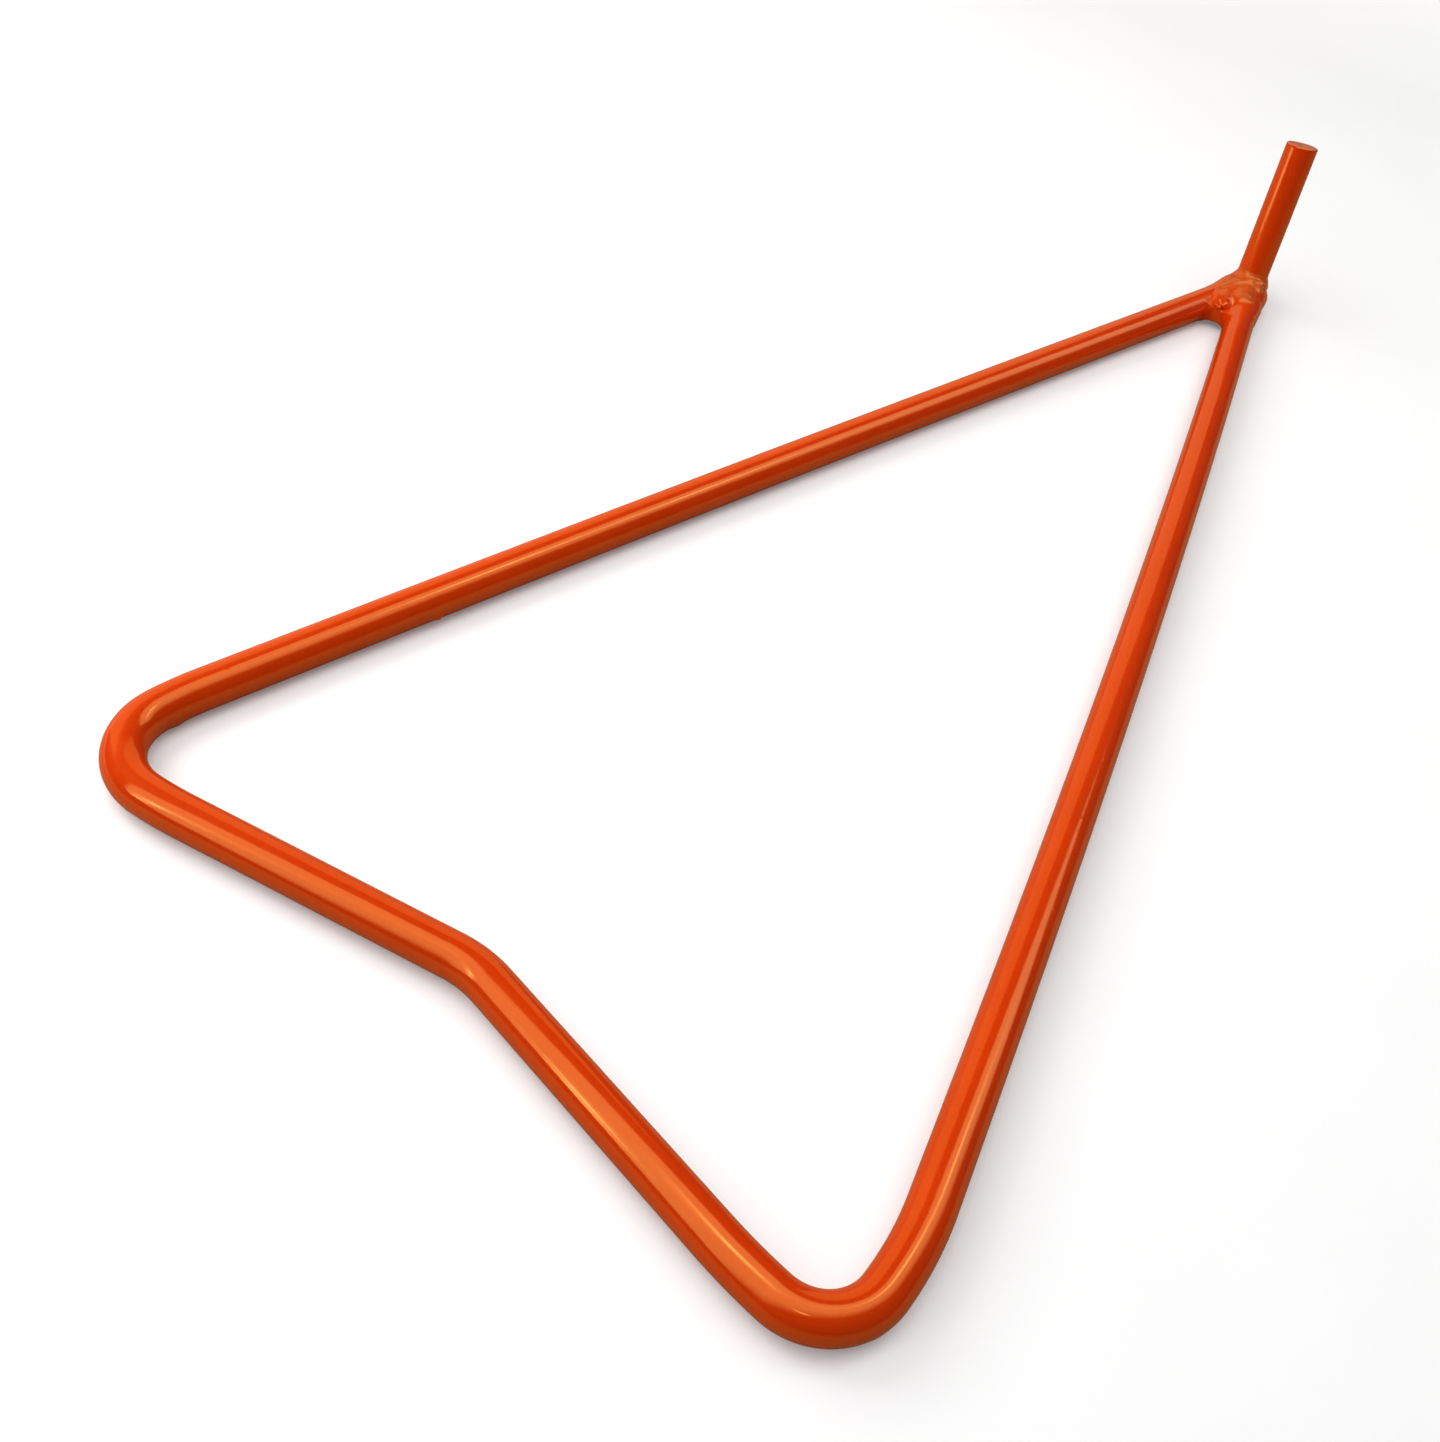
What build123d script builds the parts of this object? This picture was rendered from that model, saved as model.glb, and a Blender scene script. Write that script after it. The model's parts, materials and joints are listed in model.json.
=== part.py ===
from build123d import *
import os
from math import atan2, cos, hypot, radians, sin, tan

# Plug-in triangle stand for an off-road motorcycle, lying flat with its axle pin upwards.
# One round bar is bent into a narrow triangle: two legs, two rounded feet and a kinked base.
# Its two ends meet at the tip, where a short pin for the hollow wheel axle is welded on.
#
# Corner points are drawn from the line through the two feet: X across the stand, Y up to the tip.
# The finished frame has +Z up, and its origin is on the ground under the middle of the stand's box.

# Driving dimensions, in millimetres and degrees.
bar_diameter = 8.0
pin_diameter = 8.6
tip_height = 332.8       # from the line through the feet to where the legs' centre-lines meet
kink_height = 13.4       # the middle of the base, bent in towards the tip
kink_radius = 22.5
left_bow = 0.56          # how far the left leg bows outward
right_bow = 1.46
bow_share = 0.83         # the share of a leg that is bowed, the rest being straight

# Each foot is three bends of the centre-line, (x, y, bend radius), from its leg round to the base.
left_foot = [(-79.1, 20.3, 60), (-81.1, 0.0, 13.0), (-61.2, 1.8, 80)]
right_foot = [(81.2, 20.4, 66), (81.1, 0.0, 11.2), (62.7, 1.5, 110)]

# The tip, where the ends of the bar are mitred against each other.
root_gap = 0.5           # between the two ends, filled by the weld
blunt_length = 4.0       # the ends are cut off square this far past tip_height
mitre_overrun = 1.15     # how far each leg is drawn before the mitre, against its upper run

# The axle pin, which leans from straight up out of the triangle's plane.
pin_axis_y = 330.3       # where its axis crosses the plane of the legs' centre-lines
pin_lean_away = 12.5     # away from the base
pin_lean_left = 4.8
pin_reach = 40.2         # from the plane of the centre-lines to the free end
pin_foot_reach = 3.2     # from that plane to the foot, which is let into the legs' upper side
pin_foot_bevel = 0.8     # how far the foot is tapered in for the weld, from the collar's top down
pin_edge_break = 0.5

# The weld collar round the pin's foot: two ovals on the legs, drawn in to the pin at the top.
# An oval is (height above the ground, y of its middle, width across the stand, length along it).
collar_ovals = [(1.4, 325.0, 13.6, 23.0), (7.0, 325.6, 12.6, 20.0)]
collar_reach = 6.6       # from the plane of the centre-lines, along the pin, to the collar's top
collar_lip = 0.35        # how far its top edge stands out from the pin

# The web of weld metal between the legs, just below the collar.
web_bottom = 1.2         # above the ground
web_top = 6.4
web_y = 306.5            # the deepest point of its hollow edge
web_edge_radius = 3.4

bar_radius = bar_diameter / 2
pin_radius = pin_diameter / 2
kink = (0, kink_height, kink_radius)
os.makedirs("parts", exist_ok=True)


def bow_corner(foot, bow):
    """Corner point, with its radius, that bows the leg between the tip and a foot outward."""
    half_length = hypot(foot[0], tip_height - foot[1]) / 2
    slope = atan2(abs(foot[0]), tip_height - foot[1])
    outward = 1 if foot[0] > 0 else -1
    x = foot[0] / 2 + outward * 2 * bow * cos(slope)
    y = (tip_height + foot[1]) / 2 + 2 * bow * sin(slope)
    return x, y, bow_share * half_length**2 / (2 * bow)


def side_route(foot, bow, far_foot):
    """Corner points and radii of one side of the bar, from past the tip to past the kink."""
    bends = [bow_corner(foot[0], bow)] + foot + [kink]
    bow_x, bow_y = bends[0][:2]
    past_tip = (bow_x * (1 - mitre_overrun), bow_y + (tip_height - bow_y) * mitre_overrun)
    past_kink = far_foot[-1][:2]
    points = [past_tip] + [bend[:2] for bend in bends] + [past_kink]
    return points, [bend[2] for bend in bends]


def draw_bends(plane, points, radii):
    """Draws straight runs between the plane's points, and a tangent arc of each radius at its corner."""
    corners = [plane.from_local_coords(Vector(*point)) for point in points]
    run_start = corners[0]
    for before, corner, after, radius in zip(corners, corners[1:], corners[2:], radii):
        arriving = (corner - before).normalized()
        leaving = (after - corner).normalized()
        reach = radius * tan(radians(arriving.get_angle(leaving) / 2))
        Line(run_start, corner - arriving * reach)
        TangentArc(corner - arriving * reach, corner + leaving * reach, tangent=arriving)
        run_start = corner + leaving * reach
    Line(run_start, corners[-1])


# The stand's box, which the frame is centred on: the bar all round, and the rim of the pin's end.
left_points, left_radii = side_route(left_foot, left_bow, right_foot)
right_points, right_radii = side_route(right_foot, right_bow, left_foot)
with BuildLine() as outline:
    draw_bends(
        Plane.XY,
        [(0, tip_height)] + left_points[1:-1] + right_points[-3:0:-1] + [(0, tip_height)],
        left_radii + right_radii[-2::-1],
    )
outline_box = outline.line.bounding_box()
pin_direction = Vector(
    -tan(radians(pin_lean_left)), tan(radians(pin_lean_away)), 1
).normalized()
pin_rim_y = pin_axis_y + (pin_reach - pin_edge_break) * pin_direction.Y
pin_far_y = pin_rim_y + pin_radius * hypot(pin_direction.X, pin_direction.Z)
middle_x = (outline_box.min.X + outline_box.max.X) / 2
middle_y = (outline_box.min.Y - bar_radius + pin_far_y) / 2

ground = Plane(origin=(-middle_x, -middle_y, 0))
centre_plane = ground.offset(bar_radius)
mitre_plane = Plane(origin=centre_plane.origin, z_dir=(1, 0, 0))
pin_origin = centre_plane.from_local_coords(Vector(0, pin_axis_y, 0))
pin_base = Plane(origin=pin_origin, x_dir=(1, 0, 0), z_dir=pin_direction)


def swept_side(points, radii, keep):
    """One side of the bar, swept past the tip and the kink and cut off at the mitre plane."""
    with BuildPart() as half:
        with BuildLine(centre_plane) as route:
            draw_bends(centre_plane, points, radii)
        with BuildSketch(Plane(origin=route.line @ 0, z_dir=route.line % 0)):
            Circle(bar_radius)
        sweep()
        split(bisect_by=mitre_plane, keep=keep)
    return half.part


# The axle pin, with the edge of its free end broken and its foot bevelled for the weld.
with BuildPart() as axle_pin:
    with BuildSketch(pin_base.offset(pin_foot_reach)):
        Circle(pin_radius)
    extrude(amount=pin_reach - pin_foot_reach)
    free_end = axle_pin.faces().sort_by(Axis.Z)[-1]
    foot = axle_pin.faces().sort_by(Axis.Z)[0]
    chamfer(free_end.edges(), pin_edge_break)
    chamfer(foot.edges(), pin_foot_bevel, collar_reach - pin_foot_reach, reference=foot)
axle_pin.part.label = "axle_pin"
export_step(axle_pin.part, "parts/axle_pin.step")


# The bent bar: its two sides joined at the kink, with the weld's root gap between the mitred ends,
# the ends cut off blunt, and a shallow seat where the pin's foot is let in.
with BuildPart() as frame_rod:
    add(swept_side(left_points, left_radii, Keep.BOTTOM))
    add(swept_side(right_points, right_radii, Keep.TOP))
    with BuildSketch(ground):
        with Locations((0, tip_height)):
            Rectangle(root_gap, 4 * bar_diameter)
        with Locations((0, tip_height + blunt_length + 2 * bar_diameter)):
            Rectangle(4 * bar_diameter, 4 * bar_diameter)
    extrude(amount=bar_diameter, mode=Mode.SUBTRACT)
    add(axle_pin.part, mode=Mode.SUBTRACT)
frame_rod.part.label = "frame_rod"
export_step(frame_rod.part, "parts/frame_rod.step")


# The weld collar: lofted from the ovals up to the pin, less the metal that it joins.
with BuildPart() as pin_weld:
    for height, middle, width, length in collar_ovals:
        with BuildSketch(ground.offset(height)):
            with Locations((0, middle)):
                Ellipse(width / 2, length / 2)
    with BuildSketch(pin_base.offset(collar_reach)):
        Circle(pin_radius + collar_lip)
    loft()
    add(frame_rod.part, mode=Mode.SUBTRACT)
    add(axle_pin.part, mode=Mode.SUBTRACT)
pin_weld.part.label = "pin_weld"
export_step(pin_weld.part, "parts/pin_weld.step")


# The web: a wedge between the legs' centre-lines with a hollow edge, less the metal that it joins.
with BuildPart() as tip_weld:
    with BuildSketch(ground.offset(web_bottom)):
        with BuildLine():
            Polyline((0, tip_height), left_points[1], right_points[1], close=True)
        make_face()
    extrude(amount=web_top - web_bottom)
    with BuildSketch(ground):
        with Locations((0, web_y - web_edge_radius)):
            Circle(web_edge_radius)
        with Locations((0, web_y - web_edge_radius - tip_height / 2)):
            Rectangle(tip_height, tip_height)
    extrude(amount=bar_diameter, mode=Mode.SUBTRACT)
    add(frame_rod.part, mode=Mode.SUBTRACT)
    add(axle_pin.part, mode=Mode.SUBTRACT)
    add(pin_weld.part, mode=Mode.SUBTRACT)
tip_weld.part.label = "tip_weld"
export_step(tip_weld.part, "parts/tip_weld.step")
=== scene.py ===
import json
from math import atan2, cos, hypot, pi, radians, sin, tan

import bmesh
import bpy
import numpy as np
from mathutils import Euler, Matrix, Vector


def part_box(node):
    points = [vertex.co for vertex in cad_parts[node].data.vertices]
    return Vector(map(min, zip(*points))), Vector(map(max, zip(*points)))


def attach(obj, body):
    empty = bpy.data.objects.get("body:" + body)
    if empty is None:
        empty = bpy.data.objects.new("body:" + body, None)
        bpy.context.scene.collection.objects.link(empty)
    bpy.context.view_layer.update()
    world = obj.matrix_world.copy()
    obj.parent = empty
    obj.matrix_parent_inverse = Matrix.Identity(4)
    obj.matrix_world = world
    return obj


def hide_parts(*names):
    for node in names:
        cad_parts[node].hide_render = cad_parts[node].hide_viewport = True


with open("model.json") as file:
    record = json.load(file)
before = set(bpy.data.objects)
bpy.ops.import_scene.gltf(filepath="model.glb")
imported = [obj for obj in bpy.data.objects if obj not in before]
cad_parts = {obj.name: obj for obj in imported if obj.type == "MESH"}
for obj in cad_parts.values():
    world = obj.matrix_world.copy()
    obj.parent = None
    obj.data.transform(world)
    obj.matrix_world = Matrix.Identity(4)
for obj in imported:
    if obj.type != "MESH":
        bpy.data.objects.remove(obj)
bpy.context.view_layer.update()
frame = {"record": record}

# Plug-in triangle stand for an off-road motorcycle: a bent bar with an axle pin welded on at its tip.
# Its shape is drawn in millimetres, like the CAD model, from the middle of the line through its feet:
# X across the stand, Y up to the tip, Z up from the ground. place() moves a drawn point into the frame.
MM = 0.001

# ---------------------------------------------------------------- driving dimensions of the bar
bar_radius = 4.0
tip_height = 332.8       # where the legs' centre-lines meet
kink = (0, 13.4, 22.5)   # x, y and bend radius of the middle of the base
left_foot = [(-79.1, 20.3, 60), (-81.1, 0.0, 13.0), (-61.2, 1.8, 80)]
right_foot = [(81.2, 20.4, 66), (81.1, 0.0, 11.2), (62.7, 1.5, 110)]
left_bow = 0.56          # how far the left leg bows outward
right_bow = 1.46
bow_share = 0.83         # the share of a leg that is bowed
mitre_overrun = 1.15     # how far each leg is drawn before the mitre, against its upper run
mitre_half_gap = 0.25
blunt_y = 336.8          # the bar's two ends are cut off square here
run_step = 1.0           # millimetres between the drawn points of a straight run
arc_step = 0.6           # and of an arc
least_arc_steps = 8

# The pin, from its mount in the record.
pin_mount = next(m for m in frame["record"]["mounts"] if m["name"] == "axle_pin")
pin_axis = Vector(pin_mount["axis"])
pin_radius = pin_mount["dims"]["r_mm"]
pin_wall_length = pin_mount["dims"]["length_mm"]
pin_edge_break = 0.5
pin_foot_depth = 3.4     # how far the pin goes on below its wall, into the weld


def bow_corner(foot, bow):
    """Corner point, with its radius, that bows the leg between the tip and a foot outward."""
    half_length = hypot(foot[0], tip_height - foot[1]) / 2
    slope = atan2(abs(foot[0]), tip_height - foot[1])
    outward = 1 if foot[0] > 0 else -1
    x = foot[0] / 2 + outward * 2 * bow * cos(slope)
    y = (tip_height + foot[1]) / 2 + 2 * bow * sin(slope)
    return x, y, bow_share * half_length**2 / (2 * bow)


def past_tip(bow):
    """Point beyond the tip on the line from a leg's bow corner through the tip."""
    return bow[0] * (1 - mitre_overrun), bow[1] + (tip_height - bow[1]) * mitre_overrun


def bent_line(corners):
    """Points and directions along straight runs joined by tangent arcs, drawn through (x, y, radius)."""
    points, directions = [], []
    ends = [np.array(corner[:2], float) for corner in corners]
    start = ends[0]
    for i in range(1, len(corners) - 1):
        arriving = (ends[i] - ends[i - 1]) / np.linalg.norm(ends[i] - ends[i - 1])
        leaving = (ends[i + 1] - ends[i]) / np.linalg.norm(ends[i + 1] - ends[i])
        turn = atan2(arriving[0] * leaving[1] - arriving[1] * leaving[0], arriving @ leaving)
        radius = corners[i][2]
        bend_start = ends[i] - arriving * radius * tan(abs(turn) / 2)
        bend_end = ends[i] + leaving * radius * tan(abs(turn) / 2)
        run = np.linalg.norm(bend_start - start)
        for share in np.arange(0, 1, 1 / max(1, round(run / run_step))):
            points.append(start + (bend_start - start) * share)
            directions.append(arriving)
        inward = np.array([-arriving[1], arriving[0]]) * np.sign(turn)
        centre = bend_start + inward * radius
        arc_steps = max(least_arc_steps, round(radius * abs(turn) / arc_step))
        for share in np.arange(0, 1, 1 / arc_steps):
            c, s = cos(turn * share), sin(turn * share)
            rotation = np.array([[c, -s], [s, c]])
            points.append(centre - rotation @ inward * radius)
            directions.append(rotation @ arriving)
        start = bend_end
    run = np.linalg.norm(ends[-1] - start)
    for share in np.linspace(0, 1, 1 + round(run / run_step)):
        points.append(start + (ends[-1] - start) * share)
        directions.append(leaving)
    return np.array(points), np.array(directions)


left_bow_corner = bow_corner(left_foot[0], left_bow)
right_bow_corner = bow_corner(right_foot[0], right_bow)
bar_corners = (
    [past_tip(left_bow_corner), left_bow_corner] + left_foot + [kink]
    + right_foot[::-1] + [right_bow_corner, past_tip(right_bow_corner)]
)
bar_line, bar_directions = bent_line(bar_corners)

# The drawing lands in the frame where the CAD bar's box is.
bar_low, bar_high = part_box("frame_rod")
shift = Vector((
    (bar_low.x + bar_high.x) / 2 - (bar_line[:, 0].min() + bar_line[:, 0].max()) / 2 * MM,
    bar_low.y - (bar_line[:, 1].min() - bar_radius) * MM,
    0,
))


def place(points):
    """Drawn points, in millimetres, as points in the frame, in metres."""
    return np.asarray(points, float) * MM + np.array(shift)


def drawn(point):
    """A point in the frame as a drawn point in millimetres."""
    return (np.array(point) - np.array(shift)) / MM


# ---------------------------------------------------------------- mesh helpers
def make_object(name, mesh, material):
    """A smooth-shaded object of that mesh, riding on the stand's one body."""
    for polygon in mesh.polygons:
        polygon.use_smooth = True
    mesh.materials.append(material)
    thing = bpy.data.objects.new(name, mesh)
    bpy.context.scene.collection.objects.link(thing)
    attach(thing, "root")
    return thing


ripple_waves = 7
least_wave_share, most_wave_share = 0.6, 1.6   # how much the waves differ in wave number
ripple_peak = 2.7                              # no ripple reaches this high or low


def ripple(points, wavelength, seed):
    """Smooth, repeatable unevenness, mostly between -1 and 1, for points in millimetres."""
    generator = np.random.default_rng(seed)
    total = np.zeros(points.shape[:-1])
    for _ in range(ripple_waves):
        direction = generator.normal(size=3)
        share = generator.uniform(least_wave_share, most_wave_share)
        direction *= share * 2 * pi / wavelength / np.linalg.norm(direction)
        total += np.sin(points @ direction + generator.uniform(0, 2 * pi))
    return total / ripple_waves**0.5


# ---------------------------------------------------------------- materials
paint_orange = (0.66, 0.037, 0.0008, 1)
dust_and_sheen_orange = (0.56, 0.080, 0.009, 1)     # duller and paler, as on the crown of the weld: dust, and painted sheen from the light overhead
crown_low, crown_high = 7.8, 8.8           # heights between which the dust and the painted sheen come in, in millimetres
pale_end_reflection_colour = (0.70, 0.22, 0.13, 1)           # painted reflection: the pale tone the pin's flat end shows where it mirrors the white surroundings
end_reflection_depth, end_reflection_edge = 0.25, 0.12         # the painted reflection comes in between these distances below the end

# Sizes of the paint's unevenness, in millimetres.
tone_size = 14
grain_size = 0.7
gloss_size = 3
end_reflection_patch_size = 1.2
sag_size = 9
peel_size = 1.6
speck_spacing = 6
speck_core, speck_edge = 0.02, 0.09        # a speck's radii, as shares of the spacing
speck_height = 0.03
grain_share = 0.4                          # how much of the mottle is fine grain

# How the paint shines: its mirror image of the surroundings is tinted, and a thin clear coat isn't.
paint_index = 1.7
paint_shine = (1.0, 0.52, 0.11, 1)
coat_share = 0.08
coat_roughness = 0.05

soft_reach, crisp_reach = 0.2, 0.15        # how far from its middle a noise has run its full range


def noise(tree, coordinates, size, detail):
    """Noise whose lumps are about that many millimetres across."""
    node = tree.nodes.new("ShaderNodeTexNoise")
    node.inputs["Scale"].default_value = 1 / (size * MM)
    node.inputs["Detail"].default_value = detail
    tree.links.new(coordinates, node.inputs["Vector"])
    return node.outputs["Fac"]


def remap(tree, value, low, high, to_low, to_high):
    """The value, with low..high stretched to to_low..to_high and clamped there."""
    node = tree.nodes.new("ShaderNodeMapRange")
    node.inputs["From Min"].default_value = low
    node.inputs["From Max"].default_value = high
    node.inputs["To Min"].default_value = to_low
    node.inputs["To Max"].default_value = to_high
    tree.links.new(value, node.inputs["Value"])
    return node.outputs["Result"]


def patches(tree, coordinates, size, detail, low=0.0, high=1.0, reach=soft_reach):
    """Noise with its middle stretched, so that much of it is at low or at high."""
    return remap(tree, noise(tree, coordinates, size, detail), 0.5 - reach, 0.5 + reach, low, high)


def combine(tree, first, second, operation="MULTIPLY"):
    """Two values multiplied, or put together by another operation."""
    node = tree.nodes.new("ShaderNodeMath")
    node.operation = operation
    tree.links.new(first, node.inputs[0])
    tree.links.new(second, node.inputs[1])
    return node.outputs[0]


def split(tree, vector):
    """The x, y and z of a vector."""
    node = tree.nodes.new("ShaderNodeSeparateXYZ")
    tree.links.new(vector, node.inputs[0])
    return node.outputs


def mix_colour(tree, factor, first, second):
    """A colour between first and second. Each of the three is a value or a socket."""
    node = tree.nodes.new("ShaderNodeMix")
    node.data_type = "RGBA"
    colour_sockets = [socket for socket in node.inputs if socket.type == "RGBA"]
    for socket, value in zip([node.inputs["Factor"]] + colour_sockets, (factor, first, second)):
        if isinstance(value, bpy.types.NodeSocket):
            tree.links.new(value, socket)
        else:
            socket.default_value = value
    return [socket for socket in node.outputs if socket.type == "RGBA"][0]


def bump(tree, height, depth, under=None):
    """A bump of that depth in millimetres, laid over the bump underneath."""
    node = tree.nodes.new("ShaderNodeBump")
    node.inputs["Distance"].default_value = depth * MM
    tree.links.new(height, node.inputs["Height"])
    if under is not None:
        tree.links.new(under, node.inputs["Normal"])
    return node.outputs["Normal"]


def with_painted_end_reflection(tree, coordinates, colour):
    """The colour, with a painted reflection on the pin's flat end: pale there, in patches."""
    along = tree.nodes.new("ShaderNodeVectorMath")
    along.operation = "DOT_PRODUCT"
    tree.links.new(coordinates, along.inputs[0])
    along.inputs[1].default_value = pin_axis
    end = Vector(pin_mount["pos_m"]).dot(pin_axis) + (pin_wall_length / 2 + pin_edge_break) * MM
    on_end = remap(tree, along.outputs["Value"], end - end_reflection_depth * MM, end - end_reflection_edge * MM, 0, 1)
    end_reflection_patches = patches(tree, coordinates, end_reflection_patch_size, 3, 0.5, 1, crisp_reach)
    # Painted reflection: the end face is made pale, in patches, for the white it mirrors.
    return mix_colour(tree, combine(tree, on_end, end_reflection_patches), colour, pale_end_reflection_colour)


def mottled_orange(tree, coordinates, mottle):
    """The paint's orange, uneven in tone by that share, in broad patches and in fine grain."""
    red, green, blue, _ = paint_orange
    deep = (red * (1 - mottle), green * (1 - 2 * mottle), blue, 1)
    light = (red * (1 + mottle), green * (1 + 2 * mottle), blue * (1 + mottle), 1)
    broad = mix_colour(tree, patches(tree, coordinates, tone_size, 4), deep, light)
    grain = patches(tree, coordinates, grain_size, 3, reach=crisp_reach)
    return mix_colour(tree, grain_share, broad, mix_colour(tree, grain, deep, light))


def uneven_surface(tree, coordinates, peel_depth, sag_depth):
    """Slow sags, orange peel on them, and specks of dust under the paint."""
    sag = bump(tree, noise(tree, coordinates, sag_size, 1), sag_depth)
    peel = bump(tree, noise(tree, coordinates, peel_size, 1.5), peel_depth, sag)
    speck = tree.nodes.new("ShaderNodeTexVoronoi")
    speck.inputs["Scale"].default_value = 1 / (speck_spacing * MM)
    tree.links.new(coordinates, speck.inputs["Vector"])
    specks = remap(tree, speck.outputs["Distance"], speck_core, speck_edge, 1, 0)
    return bump(tree, specks, speck_height, peel)


def gloss_paint(name, mottle, dust_and_sheen, roughness, dusty_roughness, peel_depth, sag_depth):
    """Thick glossy orange paint, duller and paler by that share above the crown's height: dust, and
    painted sheen.
    """
    material = bpy.data.materials.new(name)
    material.use_nodes = True
    tree = material.node_tree
    shader = tree.nodes["Principled BSDF"]
    coordinates = tree.nodes.new("ShaderNodeTexCoord").outputs["Object"]
    height = split(tree, coordinates)["Z"]

    # Painted sheen, with dust: the weld's top, which the light overhead catches, is painted paler.
    crown_dust_and_sheen = remap(tree, height, crown_low * MM, crown_high * MM, 0, dust_and_sheen)
    painted = mix_colour(tree, crown_dust_and_sheen, mottled_orange(tree, coordinates, mottle), dust_and_sheen_orange)
    # The pin's flat end gets a painted reflection, a pale tone in patches.
    tree.links.new(with_painted_end_reflection(tree, coordinates, painted), shader.inputs["Base Color"])

    level = remap(tree, height, crown_low * MM, crown_high * MM, roughness, dusty_roughness)
    uneven = patches(tree, coordinates, gloss_size, 3, 0.8, 1.2)
    tree.links.new(combine(tree, uneven, level), shader.inputs["Roughness"])

    surface = uneven_surface(tree, coordinates, peel_depth, sag_depth)
    tree.links.new(surface, shader.inputs["Normal"])
    tree.links.new(surface, shader.inputs["Coat Normal"])
    shader.inputs["IOR"].default_value = paint_index
    shader.inputs["Specular IOR Level"].default_value = 1.0
    shader.inputs["Specular Tint"].default_value = paint_shine
    shader.inputs["Coat Weight"].default_value = coat_share
    shader.inputs["Coat Roughness"].default_value = coat_roughness
    return material


bar_paint = gloss_paint(
    "orange_paint_look", mottle=0.05, dust_and_sheen=0, roughness=0.12, dusty_roughness=0.12,
    peel_depth=0.004, sag_depth=0.02,
)
weld_paint = gloss_paint(
    "painted_weld_look", mottle=0.07, dust_and_sheen=0.85, roughness=0.14, dusty_roughness=0.34,
    peel_depth=0.005, sag_depth=0.025,
)


# ---------------------------------------------------------------- the bar
bar_segments = 72
trimmed_stretch = 290    # above this y, the bar's ends are cut to meet each other
bar_unevenness = 0.004   # the bar is this uneven, in millimetres, and always on the thin side
bar_ripple_length = 16

# Small lumps in the paint of the bar: (x, y, z, height, spread).
paint_nibs = [(-63.0, 69.8, 2.3, 0.5, 0.5), (-77.0, 17.0, 1.6, 0.25, 0.9), (84.6, 6.0, 2.2, 0.2, 0.8)]


def build_bar():
    """The bent bar swept as one tube, with its two ends cut at the mitre and cut off blunt."""
    across = np.stack([-bar_directions[:, 1], bar_directions[:, 0], 0 * bar_directions[:, 0]], -1)
    angles = np.linspace(0, 2 * pi, bar_segments, endpoint=False)[None, :, None]
    outward = np.cos(angles) * across[:, None, :] + np.sin(angles) * np.array([0, 0, 1.0])
    centres = np.column_stack([bar_line, np.full(len(bar_line), bar_radius)])[:, None, :]
    rings = centres + bar_radius * outward
    height = -bar_unevenness * (ripple_peak + ripple(rings, bar_ripple_length, seed=3))
    for x, y, z, rise, spread in paint_nibs:
        away = np.linalg.norm(rings - np.array([x, y, z]), axis=-1)
        height += rise * np.exp(-((away / spread) ** 2) / 2)
    rings += height[..., None] * outward

    mesh = bmesh.new()
    end = mesh.faces.layers.int.new("end")
    grid = [[mesh.verts.new(point) for point in ring] for ring in place(rings)]
    for k, (ring, following) in enumerate(zip(grid, grid[1:])):
        for i in range(bar_segments):
            j = (i + 1) % bar_segments
            face = mesh.faces.new((ring[i], ring[j], following[j], following[i]))
            if bar_line[k, 1] > trimmed_stretch:
                face[end] = -1 if k < len(grid) / 2 else 1
    for side in (-1, 1):
        cut(mesh, end, side, place((side * mitre_half_gap, 0, 0)), Vector((-side, 0, 0)))
        cut(mesh, end, side, place((0, blunt_y, 0)), Vector((0, 1, 0)))
    bmesh.ops.recalc_face_normals(mesh, faces=mesh.faces)
    data = bpy.data.meshes.new("bent_bar")
    mesh.to_mesh(data)
    return data


def cut(mesh, end, side, at, away):
    """Cuts one end of the bar with a plane, takes off what is beyond it, and closes the end."""
    faces = [face for face in mesh.faces if face[end] == side]
    parts = {part for face in faces for part in (face, *face.edges, *face.verts)}
    made = bmesh.ops.bisect_plane(
        mesh, geom=list(parts), plane_co=at, plane_no=away, clear_outer=True
    )
    rim = [part for part in made["geom_cut"] if isinstance(part, bmesh.types.BMEdge)]
    caps = bmesh.ops.edgeloop_fill(mesh, edges=[edge for edge in rim if edge.is_boundary])
    for face in caps["faces"]:
        face[end] = side


# ---------------------------------------------------------------- the pin
pin_segments = 96
pin_ring_step = 1.0
edge_rings = 8
end_ring_step, end_rings = 0.4, 9
side_roughness, end_roughness = 0.012, 0.05    # millimetres
pin_roughness_length = 5
pin_sink = 1.7                                 # its middle lies this many times its size down


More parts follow.
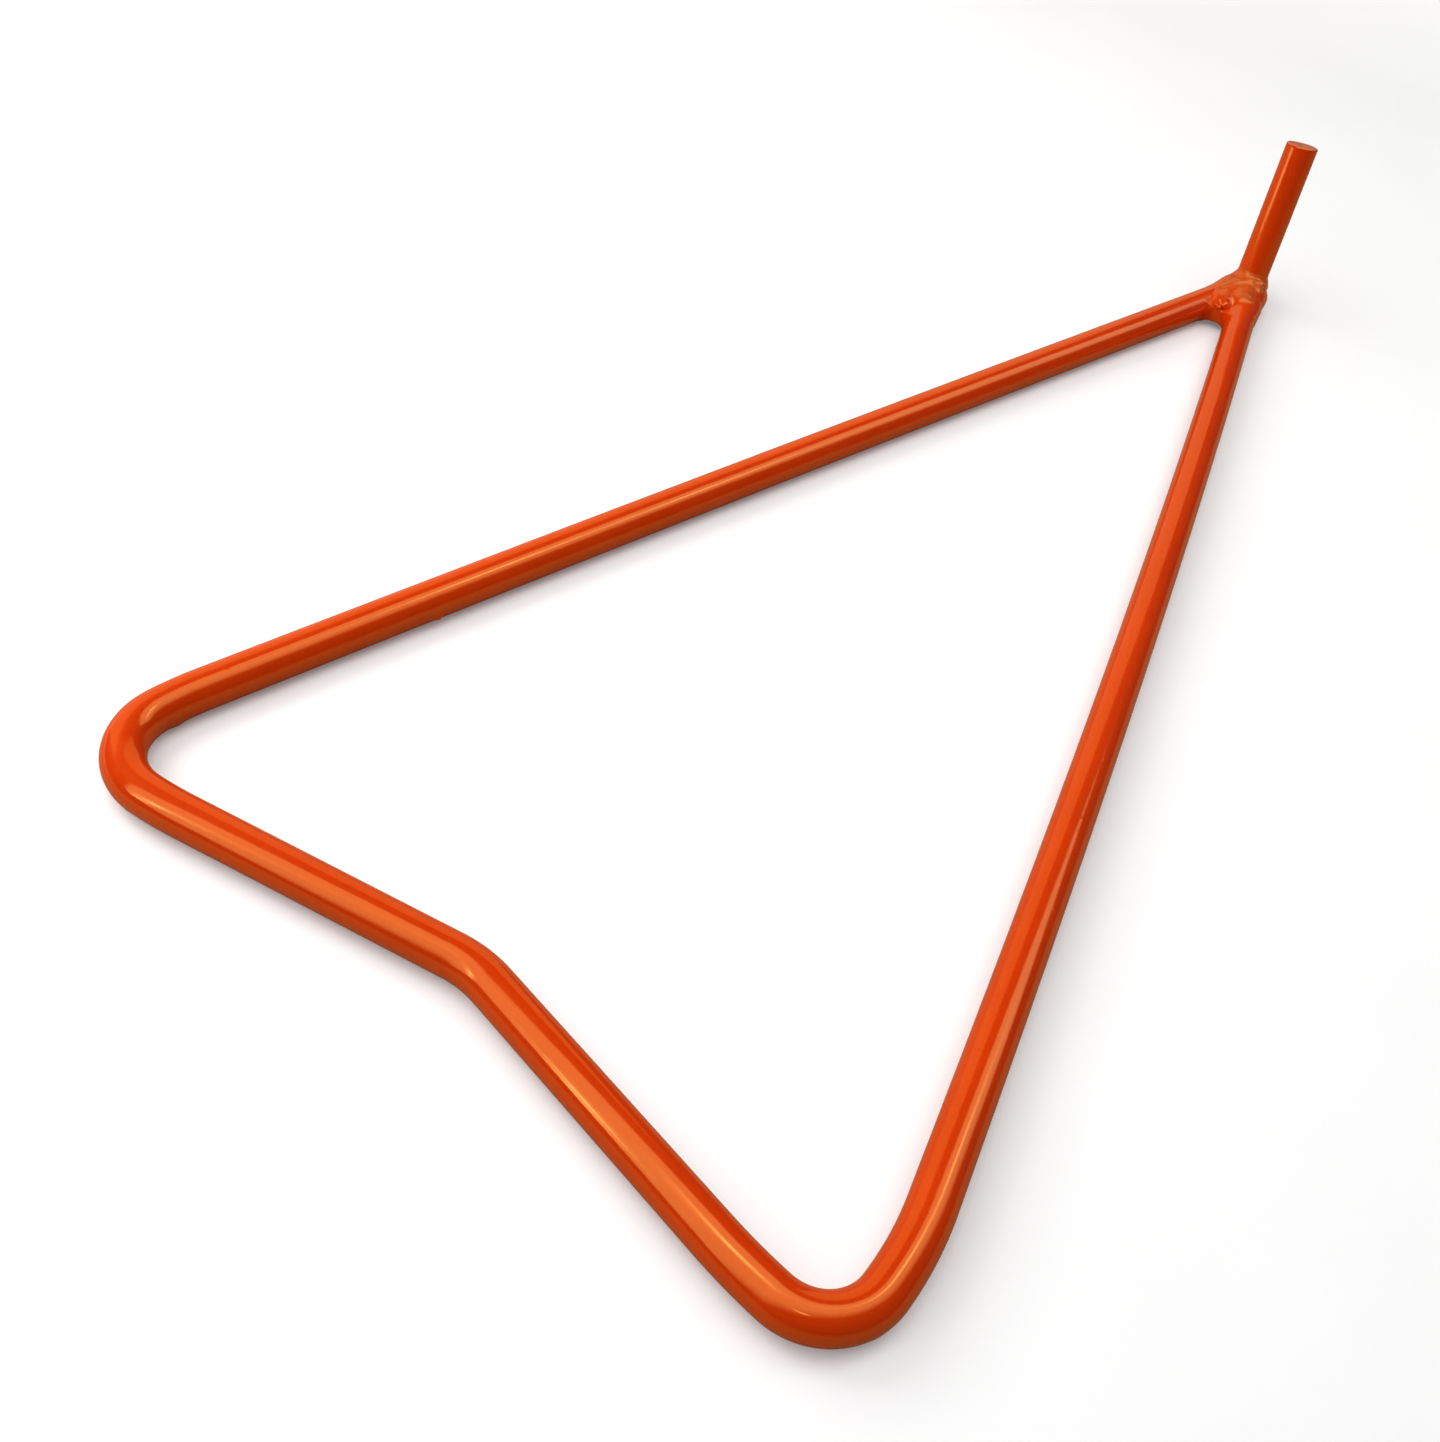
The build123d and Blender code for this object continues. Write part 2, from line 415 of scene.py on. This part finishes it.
def build_pin():
    """The axle pin, turned about its axis, with a rounded edge and a slightly uneven sawn end."""
    middle = Vector(pin_mount["pos_m"])
    foot = -pin_wall_length / 2 - pin_foot_depth
    top = pin_wall_length / 2
    profile = [(0, foot), (pin_radius, foot)]
    profile += [(pin_radius, along) for along in np.arange(foot + pin_ring_step, top, pin_ring_step)]
    for step in range(edge_rings + 1):
        turn = step / edge_rings * pi / 2
        inset = pin_edge_break * (1 - cos(turn))
        profile.append((pin_radius - inset, top + pin_edge_break * sin(turn)))
    flat_radius = pin_radius - pin_edge_break
    for ring in range(1, end_rings + 1):
        profile.append((flat_radius - end_ring_step * ring, top + pin_edge_break))
    profile.append((0, top + pin_edge_break))

    side = pin_axis.orthogonal().normalized()
    other = pin_axis.cross(side)
    mesh = bmesh.new()
    rows = []
    for radius, along in profile:
        centre = middle + pin_axis * along * MM
        if radius == 0:
            rows.append([mesh.verts.new(centre)])
            continue
        row = []
        for i in range(pin_segments):
            angle = 2 * pi * i / pin_segments
            out = side * cos(angle) + other * sin(angle)
            row.append(mesh.verts.new(centre + out * radius * MM))
        rows.append(row)
    for row, following in zip(rows, rows[1:]):
        for i in range(pin_segments):
            j = (i + 1) % pin_segments
            corners = [row[i % len(row)], row[j % len(row)]]
            corners += [following[j % len(following)], following[i % len(following)]]
            mesh.faces.new(list(dict.fromkeys(corners)))
    bmesh.ops.recalc_face_normals(mesh, faces=mesh.faces)
    data = bpy.data.meshes.new("pin")
    mesh.to_mesh(data)
    roughen_pin(data, middle)
    return data


def roughen_pin(data, middle):
    """Lowers the pin's surface a little here and there, and its end face more."""
    points = np.array([drawn(vertex.co) for vertex in data.vertices])
    normals = np.array([vertex.normal for vertex in data.vertices])
    top = (pin_wall_length / 2 + pin_edge_break) * MM
    hair = 1e-6
    on_end = np.array([(vertex.co - middle).dot(pin_axis) > top - hair for vertex in data.vertices])
    roughness = np.where(on_end, end_roughness, side_roughness)
    depth = roughness * (pin_sink + ripple(points, pin_roughness_length, seed=11))
    points -= depth[:, None] * normals
    data.vertices.foreach_set("co", place(points).ravel())


# ---------------------------------------------------------------- the weld metal
# Weld metal is drawn as a solid's distance field, sampled on a grid and meshed where it crosses zero.
weld_grid = 0.25         # millimetres between samples
mitre_overlap = 0.6      # how far each leg of the weld's own core goes on past the middle
weld_sink = 0.07         # how far it dips into the bar where no metal was laid
weld_floor = 0.3         # no weld metal is laid lower than this above the ground

# Fillets, in millimetres.
crotch_fillet = 1.2      # between the legs, under the mound
pin_fillet = 3.0
lump_fillet = 1.7
ridge_fillet = 0.9
root_fillet = 0.5        # between the legs, under the web
web_fillet = 2.3

# The web of metal between the legs.
web_height = 4.0         # middle of its thickness
web_half_thickness = 2.0
web_half_width = 6.0
web_edge = 308.5         # where it ends towards the base
web_back = 322.0

# Unevenness of the metal laid: (height, length) of slow and quick ripples.
slow_ripple = (0.05, 4)
quick_ripple = (0.02, 1.8)
ripple_fade = 0.5        # the ripples have their full height where the metal is this thick
web_ripple = (0.1, 4)


def smooth_union(first, second, reach):
    """Union of two distance fields, filleted where they meet."""
    overlap = np.maximum(reach - np.abs(first - second), 0) / reach
    return np.minimum(first, second) - overlap**2 * reach / 4


def rod_field(points, start, direction, radius):
    """Distance to an endless round rod."""
    direction = np.array(direction) / np.linalg.norm(direction)
    offset = points - np.array(start)
    along = offset @ direction
    return np.linalg.norm(offset - along[..., None] * direction, axis=-1) - radius


def blob_field(points, centre, radii):
    """Approximate distance to an ellipsoid."""
    radii = np.array(radii, float)
    offset = (points - np.array(centre)) / radii
    far = np.linalg.norm(offset, axis=-1)
    slope = np.linalg.norm(offset / radii, axis=-1)
    return far * (far - 1) / np.maximum(slope, np.finfo(float).tiny)


def bead_field(points, start, end, radius):
    """Distance to a round-ended stretch of bead."""
    start, end = np.array(start, float), np.array(end, float)
    span = end - start
    share = np.clip((points - start) @ span / (span @ span), 0, 1)
    return np.linalg.norm(points - start - share[..., None] * span, axis=-1) - radius


def legs_field(points, fillet):
    """The two legs near the tip, each ending a little past the mitre and cut off blunt."""
    tip = (0, tip_height, bar_radius)
    fields = []
    for corner, side in ((left_bow_corner, -1), (right_bow_corner, 1)):
        leg = rod_field(points, tip, (corner[0], corner[1] - tip_height, 0), bar_radius)
        fields.append(np.maximum(leg, -side * points[..., 0] - mitre_overlap))
    return np.maximum(smooth_union(fields[0], fields[1], fillet), points[..., 1] - blunt_y)


def edge_ends(axis):
    """Indices of the near and the far end of every grid edge along an axis."""
    near = [slice(None)] * 3
    far = [slice(None)] * 3
    near[axis] = slice(None, -1)
    far[axis] = slice(1, None)
    return tuple(near), tuple(far)


def cell_vertices(points, values):
    """The surface's vertices, one in each cell that it crosses, and each cell's vertex number."""
    inside = values < 0
    cells = tuple(samples - 1 for samples in values.shape)
    total = np.zeros(cells + (3,))
    count = np.zeros(cells)
    for axis in range(3):
        near, far = edge_ends(axis)
        crossed = inside[near] != inside[far]
        drop = np.where(crossed, values[near] - values[far], 1)
        spot = points[near].copy()
        spot[..., axis] += np.where(crossed, values[near] / drop, 0) * weld_grid
        others = [other for other in range(3) if other != axis]
        for first in (0, 1):
            for second in (0, 1):
                pick = [slice(None)] * 3
                for other, offset in zip(others, (first, second)):
                    pick[other] = slice(offset, offset + cells[other])
                hit = crossed[tuple(pick)]
                total += np.where(hit[..., None], spot[tuple(pick)], 0)
                count += hit
    used = count > 0
    number = np.full(cells, -1)
    number[used] = np.arange(used.sum())
    return total[used] / count[used][:, None], number


def crossing_faces(values, number):
    """A four-sided face round each grid edge that the surface crosses, facing outward."""
    inside = values < 0
    faces = []
    for axis in range(3):
        near, far = edge_ends(axis)
        leaving = inside[near].astype(int) - inside[far].astype(int)
        spots = np.argwhere(leaving)
        u, v = (axis + 1) % 3, (axis + 2) % 3
        for other in (u, v):
            spots = spots[(spots[:, other] > 0) & (spots[:, other] < number.shape[other])]
        corners = []
        for du, dv in ((-1, -1), (0, -1), (0, 0), (-1, 0)):
            cell = spots.copy()
            cell[:, u] += du
            cell[:, v] += dv
            corners.append(number[tuple(cell.T)])
        quads = np.stack(corners, -1)
        backward = leaving[tuple(spots.T)] < 0
        quads[backward] = quads[backward][:, ::-1]
        faces.append(quads)
    return np.concatenate(faces)


def skin(name, low, high, field):
    """Mesh of a distance field's zero surface in a box, closed at the box's sides."""
    axes = [np.arange(a, b + weld_grid, weld_grid) for a, b in zip(low, high)]
    points = np.stack(np.meshgrid(*axes, indexing="ij"), -1)
    values = field(points)
    for axis in range(3):
        for edge in (0, -1):
            side = [slice(None)] * 3
            side[axis] = edge
            values[tuple(side)] = np.maximum(values[tuple(side)], weld_grid / 2)
    vertices, number = cell_vertices(points, values)
    data = bpy.data.meshes.new(name)
    data.from_pydata(place(vertices).tolist(), [], crossing_faces(values, number).tolist())
    data.validate()
    return data


pin_root = drawn(Vector(pin_mount["pos_m"]))

# Lumps of weld metal round the pin's foot: (middle, half-sizes).
mound_blobs = [
    ((-0.3, 319.0, 6.2), (4.4, 7.6, 2.2)),     # fills the valley between the legs
    ((3.1, 317.4, 7.3), (2.5, 3.4, 1.8)),      # a smooth lump on the right leg
    ((-2.8, 321.5, 6.9), (2.6, 4.5, 1.7)),     # and a lower one on the left leg
    ((1.6, 323.0, 7.2), (3.4, 4.0, 1.7)),      # between them and the pin
    ((-1.3, 313.2, 6.4), (2.3, 3.4, 1.6)),     # the blunt lower end
    ((4.8, 321.8, 4.4), (3.1, 9.0, 3.2)),      # bulge on the right leg's outer side
    ((-4.4, 322.5, 5.0), (2.4, 9.0, 3.0)),     # and on the left leg's
    ((0.0, 333.8, 4.3), (4.2, 3.2, 3.5)),      # over the cut-off ends
]
# Ridges and runs left by the torch: (from, to, radius).
mound_ridges = [
    ((5.5, 318.5, 4.3), (8.3, 303.5, 4.2), 3.4),     # a broad run down the right leg's outer side
    ((-1.9, 315.9, 7.0), (0.6, 310.9, 6.6), 1.2),
    ((-3.5, 316.6, 7.9), (-1.3, 322.7, 8.3), 0.7),
    ((-0.8, 322.2, 8.5), (1.2, 324.8, 8.9), 0.8),
    ((-3.4, 312.8, 6.9), (-2.2, 310.1, 6.9), 0.75),
    ((-2.2, 310.1, 6.9), (-0.2, 308.4, 6.6), 0.75),
    ((1.3, 324.6, 8.9), (3.7, 327.2, 8.3), 0.95),
    ((3.9, 327.2, 8.2), (4.4, 323.8, 7.9), 0.9),
    ((5.3, 320.2, 7.3), (5.7, 317.2, 7.1), 0.7),
    ((5.7, 317.2, 7.1), (4.6, 314.6, 7.2), 0.6),
]


def mound_field(points):
    """Weld metal round the pin's foot, filleted into the legs and the pin."""
    legs = legs_field(points, crotch_fillet)
    pin = rod_field(points, pin_root, pin_axis, pin_radius)
    metal = smooth_union(legs, pin, pin_fillet)
    for centre, radii in mound_blobs:
        metal = smooth_union(metal, blob_field(points, centre, radii), lump_fillet)
    for start, end, radius in mound_ridges:
        metal = smooth_union(metal, bead_field(points, start, end, radius), ridge_fillet)
    laid = np.clip((np.minimum(legs, pin) - metal) / ripple_fade, 0, 1)
    for seed, (height, length) in ((5, slow_ripple), (6, quick_ripple)):
        metal += laid * height * ripple(points, length, seed)
    return np.maximum(metal + weld_sink, weld_floor - points[..., 2])


def web_field(points):
    """Weld metal between the legs, with a hollow edge towards the base."""
    height, length = web_ripple
    thick = web_half_thickness + height * ripple(points, length, seed=8)
    slab = np.abs(points[..., 2] - web_height) - thick
    across = np.abs(points[..., 0]) - web_half_width
    web = np.maximum(np.maximum(slab, across), web_edge - points[..., 1])
    metal = smooth_union(legs_field(points, root_fillet), web, web_fillet)
    return np.maximum(metal + weld_sink, points[..., 1] - web_back)


# ---------------------------------------------------------------- the pieces
bar = make_object("bent_bar", build_bar(), bar_paint)
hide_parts("frame_rod")

pin = make_object("axle_plug", build_pin(), bar_paint)
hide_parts("axle_pin")

# Boxes in which the two fields are sampled.
mound_low, mound_high = (-10, 301, -0.5), (10, 341, 14.5)
web_low, web_high = (-10, 298, -0.5), (10, 324, 9)

mound_mesh = skin("pin_weld_bead", mound_low, mound_high, mound_field)
mound = make_object("pin_weld_bead", mound_mesh, weld_paint)
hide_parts("pin_weld")

web_mesh = skin("crotch_weld_bead", web_low, web_high, web_field)
web = make_object("crotch_weld_bead", web_mesh, weld_paint)
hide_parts("tip_weld")


# ---------------------------------------------------------------- floor, lights and camera
# The table is white to the camera and darker to everything else, like the overexposed one in the photo.
table_half = 4.0
table_tone_size = 40
seen_dark, seen_light = (0.84, 0.84, 0.84, 1), (0.86, 0.86, 0.86, 1)
table_lighting = (0.45, 0.45, 0.45, 1)
table_mirrored = (0.36, 0.26, 0.13, 1)
table_roughness = 0.6
table_specular = 0.2
glow_tint = (1.0, 0.985, 0.98, 1)
near_glow, far_glow = 0.15, 1.0
glow_start, glow_end = 0.35, 1.1        # the glow grows between these distances, in metres

# The pin mirrors a bright stretch of the table, in this direction from it.
patch_way = radians(-138)
patch_slope = tan(radians(9))
patch_core, patch_edge = 0.9, 1.2       # its sides fade out between these shares of the slope
patch_near, patch_full = 0.15, 0.25     # and its near end between these distances, in metres
patch_glow = 2.0


def bright_patch(tree, coordinates):
    """How far a point of the table is in the bright stretch that the pin mirrors."""
    turned = tree.nodes.new("ShaderNodeMapping")
    turned.vector_type = "TEXTURE"
    turned.inputs["Location"].default_value = (*pin_mount["pos_m"][:2], 0)
    turned.inputs["Rotation"].default_value = (0, 0, patch_way)
    tree.links.new(coordinates, turned.inputs["Vector"])
    spot = split(tree, turned.outputs["Vector"])
    slope = combine(tree, spot["Y"], spot["X"], "DIVIDE")
    core, edge = patch_core * patch_slope, patch_edge * patch_slope
    inside = combine(
        tree, remap(tree, slope, -edge, -core, 0, 1), remap(tree, slope, core, edge, 1, 0)
    )
    return combine(tree, inside, remap(tree, spot["X"], patch_near, patch_full, 0, 1))


def table_glow(tree, path, coordinates):
    """The glow that evens out the table for the camera, and the bright stretch in reflections."""
    away = tree.nodes.new("ShaderNodeVectorMath")
    away.operation = "LENGTH"
    tree.links.new(coordinates, away.inputs[0])
    level = remap(tree, away.outputs["Value"], glow_start, glow_end, near_glow, far_glow)
    seen = combine(tree, path.outputs["Is Camera Ray"], level)
    mirrored = combine(tree, path.outputs["Is Glossy Ray"], bright_patch(tree, coordinates))
    return combine(tree, seen, remap(tree, mirrored, 0, 1, 0, patch_glow), "ADD")


def build_floor():
    """A plain pale table, wide enough to fill the view."""
    mesh = bmesh.new()
    ways = [(-1, -1), (1, -1), (1, 1), (-1, 1)]
    mesh.faces.new([mesh.verts.new((x * table_half, y * table_half, 0)) for x, y in ways])
    data = bpy.data.meshes.new("table")
    mesh.to_mesh(data)
    material = bpy.data.materials.new("white_table")
    material.use_nodes = True
    tree = material.node_tree
    shader = tree.nodes["Principled BSDF"]
    coordinates = tree.nodes.new("ShaderNodeTexCoord").outputs["Object"]
    path = tree.nodes.new("ShaderNodeLightPath")
    tone = patches(tree, coordinates, table_tone_size, 3)
    seen = mix_colour(tree, tone, seen_dark, seen_light)
    unseen = mix_colour(tree, path.outputs["Is Glossy Ray"], table_lighting, table_mirrored)
    colour = mix_colour(tree, path.outputs["Is Camera Ray"], unseen, seen)
    tree.links.new(colour, shader.inputs["Base Color"])
    shader.inputs["Roughness"].default_value = table_roughness
    shader.inputs["Specular IOR Level"].default_value = table_specular
    shader.inputs["Emission Color"].default_value = glow_tint
    tree.links.new(table_glow(tree, path, coordinates), shader.inputs["Emission Strength"])
    data.materials.append(material)
    floor = bpy.data.objects.new("table", data)
    bpy.context.scene.collection.objects.link(floor)


def panel_light(name, centre, length_way, outward, size, radiance, tint=(1, 1, 1), mirrored=True):
    """A soft panel light: size is (width, length) in metres, and it shines against outward."""
    data = bpy.data.lights.new(name, "AREA")
    data.shape = "RECTANGLE"
    data.size, data.size_y = size
    data.energy = radiance * pi * size[0] * size[1]
    data.color = tint
    light = bpy.data.objects.new(name, data)
    outward = Vector(outward).normalized()
    along = Vector(length_way)
    along = (along - outward * along.dot(outward)).normalized()
    across = along.cross(outward)
    turn = Matrix((across, along, outward)).transposed().to_4x4()
    light.matrix_world = Matrix.Translation(Vector(centre)) @ turn
    light.visible_camera = False
    light.visible_glossy = mirrored
    bpy.context.scene.collection.objects.link(light)
    return light


def shade_light(light, across_levels, along_levels):
    """Varies a panel light's radiance across its width and along its length: (share, level) stops."""
    light.data.use_nodes = True
    tree = light.data.node_tree
    spot = split(tree, tree.nodes.new("ShaderNodeNewGeometry").outputs["Parametric"])
    strength = tree.nodes.new("ShaderNodeMath")
    strength.operation = "MULTIPLY"
    for k, (axis, levels) in enumerate((("X", across_levels), ("Y", along_levels))):
        ramp = tree.nodes.new("ShaderNodeValToRGB")
        tree.links.new(spot[axis], ramp.inputs[0])
        stops = ramp.color_ramp.elements
        for share, _ in levels[1:-1]:
            stops.new(share)
        for stop, (share, level) in zip(stops, levels):
            stop.position = share
            stop.color = (level, level, level, 1)
        tree.links.new(ramp.outputs["Color"], strength.inputs[k])
    tree.links.new(strength.outputs[0], tree.nodes["Emission"].inputs["Strength"])


stand_middle = Vector((0, 0, 0.02))
even = [(0, 1), (1, 1)]

# The tube is a row of lamps of uneven brightness: (metres along it from the stand's middle, level).
tube_middle = Vector((0.004, 0, 0.524))
tube_way = Vector((0.485, 1, -0.15)).normalized()
tube_width = 0.12
tube_profile = [(0.0, 0), (0.3, 0.3), (0.5, 1), (0.7, 0.3), (1.0, 0)]
lamps = [
    (-1.45, 0.2), (-1.31, 1.0), (-1.12, 0.2), (-0.9, 0.9), (-0.75, 0.15), (-0.5, 0.02),
    (-0.28, 0.1), (-0.2, 0.7), (-0.1, 0.1), (0, 0.03), (0.12, 0.1), (0.22, 0.6), (0.30, 0.15),
    (0.40, 0.5), (0.52, 0.15), (0.6, 0.1), (0.75, 0.05),
]


def build_overhead():
    """A long soft panel over the stand, and the row of lamps that makes the narrow highlights."""
    panel = panel_light(
        "overhead_panel", centre=(0.045, -0.069, 0.681), length_way=(0.457, 0.879, 0.139),
        outward=(0.249, -0.276, 0.928), size=(0.72, 3.0), radiance=1.45,
    )
    shade_light(panel, [(0.0, 0), (0.03, 1), (0.70, 1), (1.0, 0)], even)
    start, end = lamps[0][0], lamps[-1][0]
    tube = panel_light(
        "overhead_tube", centre=tube_middle + tube_way * (start + end) / 2, length_way=tube_way,
        outward=(0.2, -0.2, 0.9), size=(tube_width, end - start), radiance=12.0,
    )
    shade_light(tube, tube_profile, [((at - start) / (end - start), level) for at, level in lamps])


def build_lights():
    """The lights overhead, one at the left and back, a small lamp, and fills that no paint mirrors."""
    build_overhead()
    side = Vector((-0.8, 0.55, 0.35))
    wall = panel_light(
        "side_panel", centre=stand_middle + side * 1.2, length_way=(0.55, 0.8, 0), outward=side,
        size=(1.2, 2.0), radiance=0.65, tint=(1, 0.72, 0.35),
    )
    wall.visible_diffuse = False
    front = Vector((0.22, -0.52, 0.82))
    panel_light(
        "small_lamp", centre=stand_middle + front * 0.9, length_way=(1, 0.3, 0), outward=front,
        size=(0.02, 0.12), radiance=12.0,
    )
    # Each of these shines from where it is towards the origin.
    for name, position, size, radiance in (
        ("left_wall", (-1.2, 0.0, 0.35), (0.8, 1.6), 0.7),
        ("fill", (-0.45, -0.03, 0.38), (0.4, 0.4), 2.5),
        ("near_fill", (-0.3, -0.22, 0.25), (0.2, 0.2), 3.0),
    ):
        panel_light(name, position, (0, 1, 0), position, size, radiance, mirrored=False)


room_light, mirrored_room_light = 0.18, 0.04


def build_world():
    """Dim surroundings, white where the camera sees them directly."""
    world = bpy.data.worlds.new("studio")
    world.use_nodes = True
    tree = world.node_tree
    room = tree.nodes["Background"]
    room.inputs["Color"].default_value = (1, 1, 1, 1)
    path = tree.nodes.new("ShaderNodeLightPath")
    lit = remap(tree, path.outputs["Is Glossy Ray"], 0, 1, room_light, mirrored_room_light)
    choice = tree.nodes.new("ShaderNodeMix")
    tree.links.new(path.outputs["Is Camera Ray"], choice.inputs[0])
    tree.links.new(lit, choice.inputs[2])
    choice.inputs[3].default_value = 1
    tree.links.new(choice.outputs[0], room.inputs["Strength"])
    bpy.context.scene.world = world


camera_place = (0.096744, -0.268026, 0.217591)
camera_heading = radians(29.115)   # turned left from looking along +Y
camera_pitch = radians(45.422)     # down from level
camera_roll = radians(11.303)
camera_sensor = 36                 # millimetres along its long side
camera_lens = 39.217


def build_camera():
    """The camera, looking down at the stand from in front and from the right, and a little tilted."""
    data = bpy.data.cameras.new("camera")
    data.sensor_width = camera_sensor
    data.lens = camera_lens
    camera = bpy.data.objects.new("camera", data)
    turn = Euler((pi / 2 - camera_pitch, 0, camera_heading), "XYZ").to_matrix()
    roll = Matrix.Rotation(camera_roll, 3, "Z")
    camera.matrix_world = Matrix.Translation(camera_place) @ (turn @ roll).to_4x4()
    bpy.context.scene.collection.objects.link(camera)
    bpy.context.scene.camera = camera


build_floor()
build_lights()
build_world()
build_camera()
bpy.context.scene.view_settings.view_transform = "Standard"
